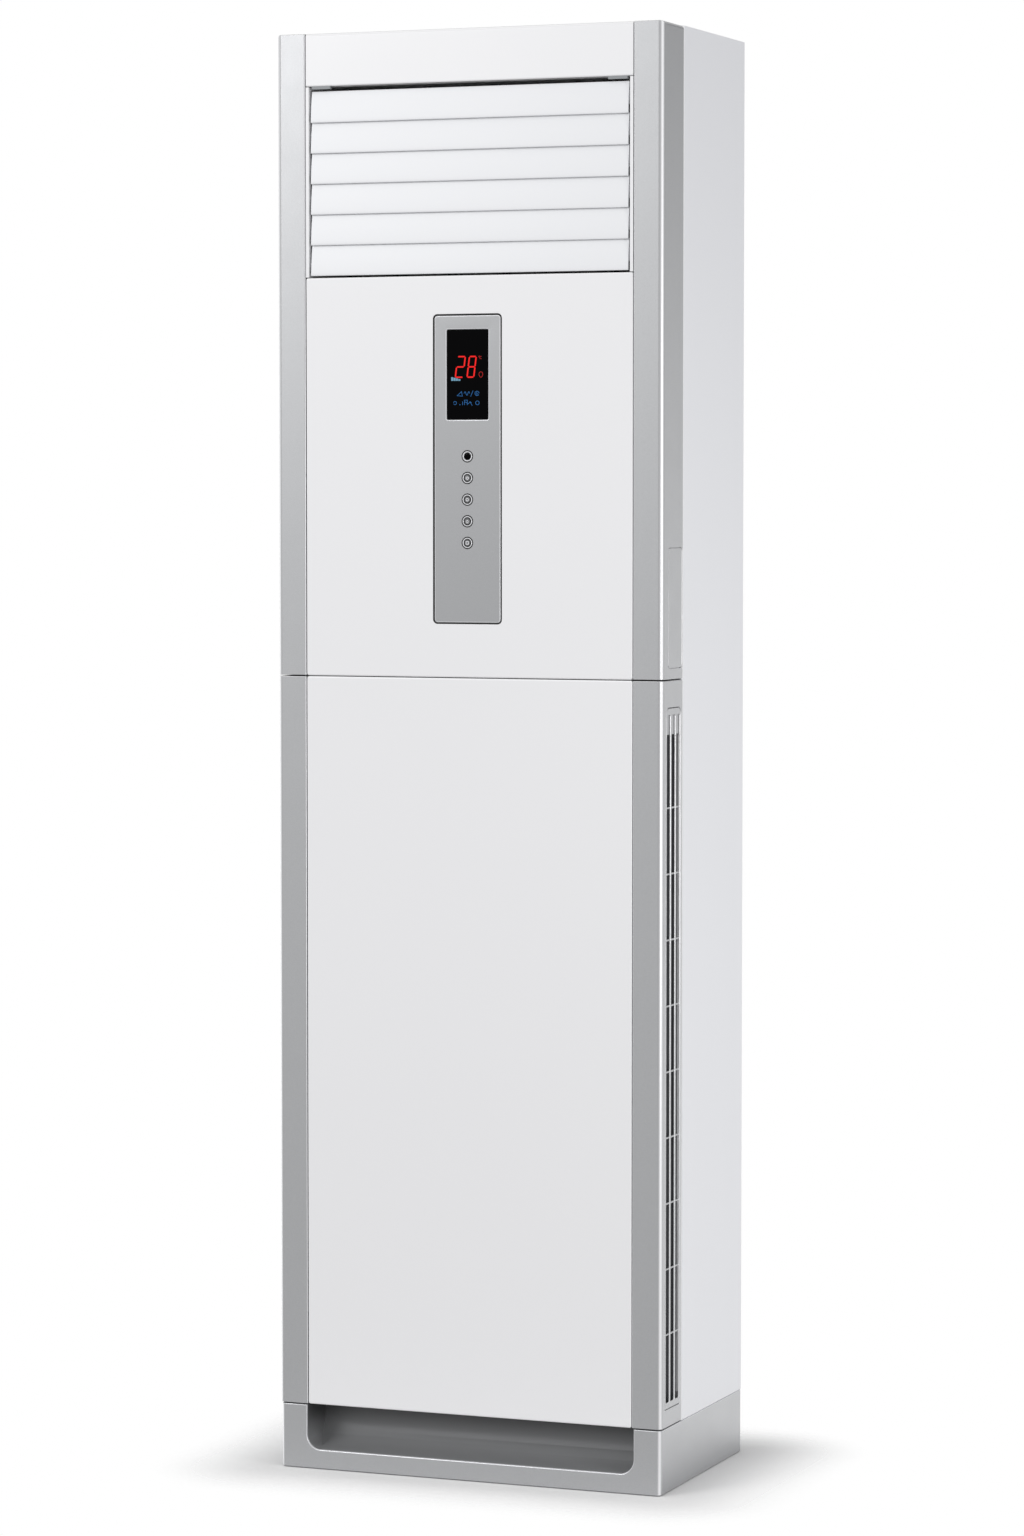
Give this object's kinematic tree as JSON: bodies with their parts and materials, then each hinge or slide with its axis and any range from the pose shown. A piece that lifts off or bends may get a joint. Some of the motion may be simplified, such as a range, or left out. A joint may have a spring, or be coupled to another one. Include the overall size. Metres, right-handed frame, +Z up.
{
  "type": "floor standing air conditioner",
  "caption": "Tall cabinet air conditioner indoor unit with swinging louvres and vanes, side intake grilles, control panel and blower.",
  "frame": {"origin": "on the floor, under the middle of the cabinet's box", "axes": "+Z up, +X to the right as seen from the front, +Y to the back; the control panel faces -Y"},
  "size_m": [0.507, 0.3, 1.78],
  "materials": {
    "white_steel": "fine semi-gloss white powder coat",
    "white_plastic": "smooth white moulding, semi-gloss",
    "silver_plastic": "silver grey satin paint with fine metal flake",
    "zinc_steel": "galvanised sheet",
    "grey_plastic": "moulded grey",
    "black_plastic": "moulded black",
    "black_window": "polished smoked window",
    "fin_aluminium": "thin bright fins",
    "copper_tube": "drawn copper",
    "circuit_board": "green solder mask",
    "natural_plastic": "natural grey moulding",
    "filter_mesh": "fine dark net"
  },
  "bodies": {
    "cabinet": {"left_side_panel": "white_steel", "right_side_panel": "white_steel", "top_cover": "white_steel", "top_rail": "white_plastic", "upper_front_panel": "white_plastic", "lower_front_panel": "white_plastic", "outlet_frame": "white_plastic", "plinth": "silver_plastic", "left_upper_trim": "silver_plastic", "left_lower_trim": "silver_plastic", "left_side_cover": "silver_plastic", "right_upper_trim": "silver_plastic", "right_lower_trim": "silver_plastic", "right_side_cover": "silver_plastic", "control_plate": "silver_plastic", "base_pan": "zinc_steel", "rear_panel": "zinc_steel", "partition_plate": "zinc_steel", "duct_wall": "zinc_steel", "scroll_casing": "zinc_steel", "bell_mouth": "zinc_steel", "motor_bracket": "zinc_steel", "fan_motor": "zinc_steel", "control_box": "zinc_steel", "louver_motor": "zinc_steel", "vane_motor": "zinc_steel", "terminal_block": "black_plastic", "display_window": "black_window", "receiver_lens": "black_window", "coil_fins": "fin_aluminium", "coil_tubes": "copper_tube", "display_board": "circuit_board", "control_board": "circuit_board", "drain_pan": "natural_plastic", "drain_hose": "natural_plastic"},
    "louver_1": {"louver_1": "white_plastic"},
    "louver_2": {"louver_2": "white_plastic"},
    "louver_3": {"louver_3": "white_plastic"},
    "louver_4": {"louver_4": "white_plastic"},
    "louver_5": {"louver_5": "white_plastic"},
    "louver_6": {"louver_6": "white_plastic"},
    "louver_link": {"louver_link_rod": "grey_plastic"},
    "vane_1": {"vane_1": "black_plastic"},
    "vane_2": {"vane_2": "black_plastic"},
    "vane_3": {"vane_3": "black_plastic"},
    "vane_4": {"vane_4": "black_plastic"},
    "vane_5": {"vane_5": "black_plastic"},
    "vane_6": {"vane_6": "black_plastic"},
    "vane_7": {"vane_7": "black_plastic"},
    "vane_8": {"vane_8": "black_plastic"},
    "vane_link": {"vane_link_bar": "grey_plastic"},
    "blower": {"blower_wheel": "grey_plastic"},
    "button_1": {"button_1": "black_plastic"},
    "button_2": {"button_2": "black_plastic"},
    "button_3": {"button_3": "black_plastic"},
    "button_4": {"button_4": "black_plastic"},
    "left_grille": {"left_intake_grille": "silver_plastic", "left_air_filter": "filter_mesh"},
    "right_grille": {"right_intake_grille": "silver_plastic", "right_air_filter": "filter_mesh"}
  },
  "joints": [
    {"name": "louver_1_swing", "type": "hinge", "parent": "cabinet", "child": "louver_1", "pos_m": [0, -0.1333, 1.6904], "axis": [-1, 0, 0], "range_deg": [0, 85]},
    {"name": "louver_2_swing", "type": "hinge", "parent": "cabinet", "child": "louver_2", "pos_m": [0, -0.1333, 1.6529], "axis": [-1, 0, 0], "range_deg": [0, 85]},
    {"name": "louver_3_swing", "type": "hinge", "parent": "cabinet", "child": "louver_3", "pos_m": [0, -0.1333, 1.6154], "axis": [-1, 0, 0], "range_deg": [0, 85]},
    {"name": "louver_4_swing", "type": "hinge", "parent": "cabinet", "child": "louver_4", "pos_m": [0, -0.1333, 1.5779], "axis": [-1, 0, 0], "range_deg": [0, 85]},
    {"name": "louver_5_swing", "type": "hinge", "parent": "cabinet", "child": "louver_5", "pos_m": [0, -0.1333, 1.5404], "axis": [-1, 0, 0], "range_deg": [0, 85]},
    {"name": "louver_6_swing", "type": "hinge", "parent": "cabinet", "child": "louver_6", "pos_m": [0, -0.1333, 1.5029], "axis": [-1, 0, 0], "range_deg": [0, 85]},
    {"name": "louver_link_pivot", "type": "hinge", "parent": "louver_1", "child": "louver_link", "pos_m": [-0.2163, -0.1193, 1.6904], "axis": [-1, 0, 0], "range_deg": [-85, 0]},
    {"name": "vane_1_swing", "type": "hinge", "parent": "cabinet", "child": "vane_1", "pos_m": [-0.175, -0.088, 1.598], "axis": [0, 0, 1], "range_deg": [-40, 40]},
    {"name": "vane_2_swing", "type": "hinge", "parent": "cabinet", "child": "vane_2", "pos_m": [-0.125, -0.088, 1.598], "axis": [0, 0, 1], "range_deg": [-40, 40]},
    {"name": "vane_3_swing", "type": "hinge", "parent": "cabinet", "child": "vane_3", "pos_m": [-0.075, -0.088, 1.598], "axis": [0, 0, 1], "range_deg": [-40, 40]},
    {"name": "vane_4_swing", "type": "hinge", "parent": "cabinet", "child": "vane_4", "pos_m": [-0.025, -0.088, 1.598], "axis": [0, 0, 1], "range_deg": [-40, 40]},
    {"name": "vane_5_swing", "type": "hinge", "parent": "cabinet", "child": "vane_5", "pos_m": [0.025, -0.088, 1.598], "axis": [0, 0, 1], "range_deg": [-40, 40]},
    {"name": "vane_6_swing", "type": "hinge", "parent": "cabinet", "child": "vane_6", "pos_m": [0.075, -0.088, 1.598], "axis": [0, 0, 1], "range_deg": [-40, 40]},
    {"name": "vane_7_swing", "type": "hinge", "parent": "cabinet", "child": "vane_7", "pos_m": [0.125, -0.088, 1.598], "axis": [0, 0, 1], "range_deg": [-40, 40]},
    {"name": "vane_8_swing", "type": "hinge", "parent": "cabinet", "child": "vane_8", "pos_m": [0.175, -0.088, 1.598], "axis": [0, 0, 1], "range_deg": [-40, 40]},
    {"name": "vane_link_pivot", "type": "hinge", "parent": "vane_1", "child": "vane_link", "pos_m": [-0.175, -0.073, 1.4987], "axis": [0, 0, 1], "range_deg": [-40, 40]},
    {"name": "blower_spin", "type": "hinge", "parent": "cabinet", "child": "blower", "pos_m": [-0.015, 0.02, 0.6], "axis": [0, 1, 0], "continuous": true},
    {"name": "button_1_press", "type": "slide", "parent": "cabinet", "child": "button_1", "axis": [0, 1, 0], "range_m": [0, 0.0012], "stiffness_N_per_m": 600},
    {"name": "button_2_press", "type": "slide", "parent": "cabinet", "child": "button_2", "axis": [0, 1, 0], "range_m": [0, 0.0012], "stiffness_N_per_m": 600},
    {"name": "button_3_press", "type": "slide", "parent": "cabinet", "child": "button_3", "axis": [0, 1, 0], "range_m": [0, 0.0012], "stiffness_N_per_m": 600},
    {"name": "button_4_press", "type": "slide", "parent": "cabinet", "child": "button_4", "axis": [0, 1, 0], "range_m": [0, 0.0012], "stiffness_N_per_m": 600},
    {"name": "right_grille_tilt", "type": "hinge", "parent": "cabinet", "child": "right_grille", "pos_m": [0.2535, -0.11075, 0.104], "axis": [0, 1, 0], "range_deg": [0, 15]},
    {"name": "left_grille_tilt", "type": "hinge", "parent": "cabinet", "child": "left_grille", "pos_m": [-0.2535, -0.11075, 0.104], "axis": [0, -1, 0], "range_deg": [0, 15]}
  ],
  "couplings": [
    {"joint": "louver_2_swing", "follows": "louver_1_swing", "ratio": 1},
    {"joint": "louver_3_swing", "follows": "louver_1_swing", "ratio": 1},
    {"joint": "louver_4_swing", "follows": "louver_1_swing", "ratio": 1},
    {"joint": "louver_5_swing", "follows": "louver_1_swing", "ratio": 1},
    {"joint": "louver_6_swing", "follows": "louver_1_swing", "ratio": 1},
    {"joint": "louver_link_pivot", "follows": "louver_1_swing", "ratio": -1},
    {"joint": "vane_2_swing", "follows": "vane_1_swing", "ratio": 1},
    {"joint": "vane_3_swing", "follows": "vane_1_swing", "ratio": 1},
    {"joint": "vane_4_swing", "follows": "vane_1_swing", "ratio": 1},
    {"joint": "vane_5_swing", "follows": "vane_1_swing", "ratio": 1},
    {"joint": "vane_6_swing", "follows": "vane_1_swing", "ratio": 1},
    {"joint": "vane_7_swing", "follows": "vane_1_swing", "ratio": 1},
    {"joint": "vane_8_swing", "follows": "vane_1_swing", "ratio": 1},
    {"joint": "vane_link_pivot", "follows": "vane_1_swing", "ratio": -1}
  ]
}
